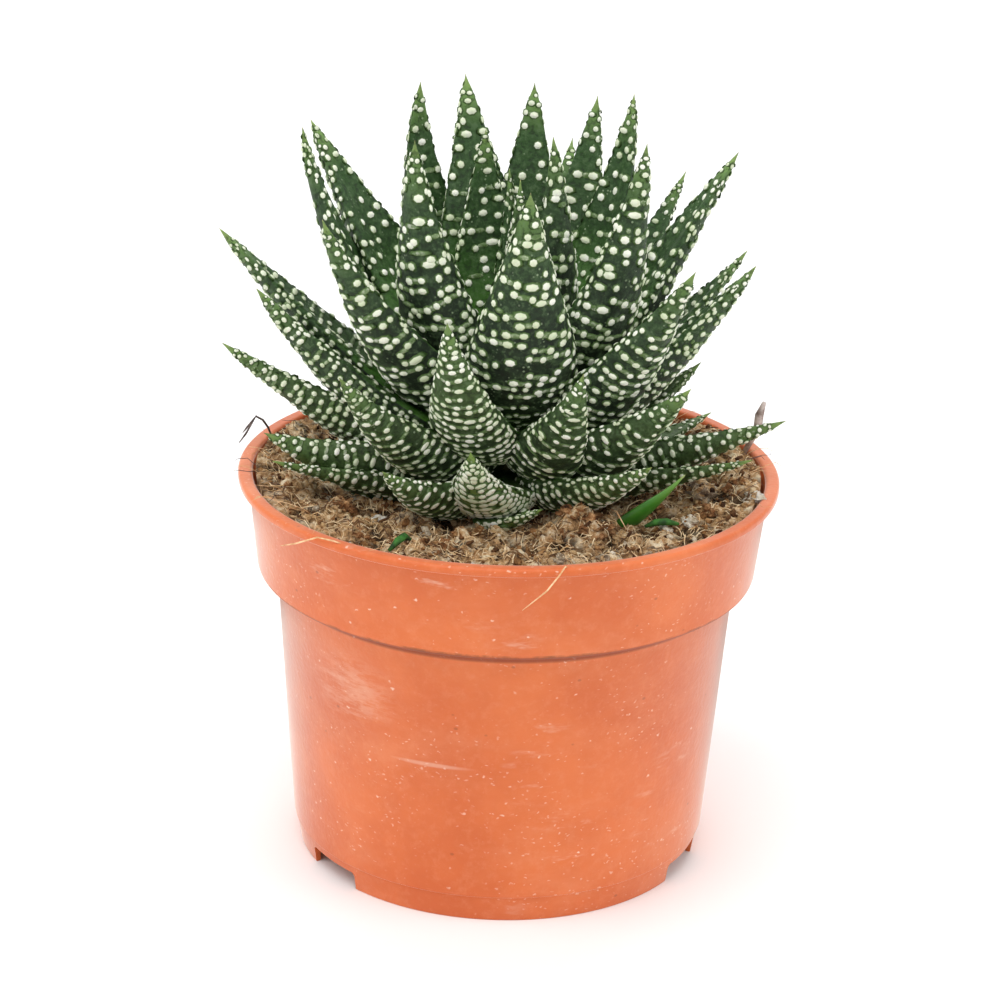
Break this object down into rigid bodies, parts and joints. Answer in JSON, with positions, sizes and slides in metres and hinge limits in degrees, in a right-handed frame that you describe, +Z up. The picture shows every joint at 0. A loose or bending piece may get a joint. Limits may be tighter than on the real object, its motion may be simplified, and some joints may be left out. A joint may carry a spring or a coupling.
{
  "type": "potted haworthia",
  "caption": "Potted haworthia: a rosette of thick, tapering, incurved dark green leaves studded with raised white pearls, growing from soil in a round orange nursery pot.",
  "frame": {"origin": "middle of the footprint of the whole plant and pot, on the surface that the pot stands on", "axes": "+Z up along the pot's axis; -Y towards the side that the picture shows"},
  "size_m": [0.124, 0.12, 0.169],
  "materials": {
    "pot": "thin terracotta orange plastic, semi-matte, scuffed, with soil specks",
    "soil": "rough fibrous brown peat and coir",
    "stem": "pale green, hidden among the leaf bases",
    "leaf": "waxy dark bluish green with raised white pearls and light green tips",
    "grain": "rough pale mineral"
  },
  "bodies": {
    "root": {"pot": "pot", "soil": "soil", "stem": "stem", "leaf_01": "leaf", "leaf_02": "leaf", "leaf_03": "leaf", "leaf_04": "leaf", "leaf_05": "leaf", "leaf_06": "leaf", "leaf_07": "leaf", "leaf_08": "leaf", "leaf_09": "leaf", "leaf_10": "leaf", "leaf_11": "leaf", "leaf_12": "leaf", "leaf_13": "leaf", "leaf_14": "leaf", "leaf_15": "leaf", "leaf_16": "leaf", "leaf_17": "leaf", "leaf_18": "leaf", "leaf_19": "leaf", "leaf_20": "leaf", "leaf_21": "leaf", "leaf_22": "leaf", "leaf_23": "leaf", "leaf_24": "leaf", "leaf_25": "leaf", "leaf_26": "leaf", "leaf_27": "leaf", "leaf_28": "leaf", "leaf_29": "leaf", "leaf_30": "leaf", "leaf_31": "leaf", "leaf_32": "leaf", "leaf_33": "leaf", "leaf_34": "leaf", "leaf_35": "leaf", "leaf_36": "leaf", "leaf_37": "leaf", "leaf_38": "leaf", "leaf_39": "leaf", "leaf_40": "leaf", "leaf_41": "leaf", "leaf_42": "leaf", "leaf_43": "leaf", "leaf_44": "leaf", "leaf_45": "leaf", "leaf_46": "leaf", "leaf_47": "leaf", "leaf_48": "leaf", "leaf_49": "leaf", "leaf_50": "leaf", "grain_1": "grain", "grain_2": "grain", "grain_3": "grain", "grain_4": "grain"}
  },
  "joints": []
}
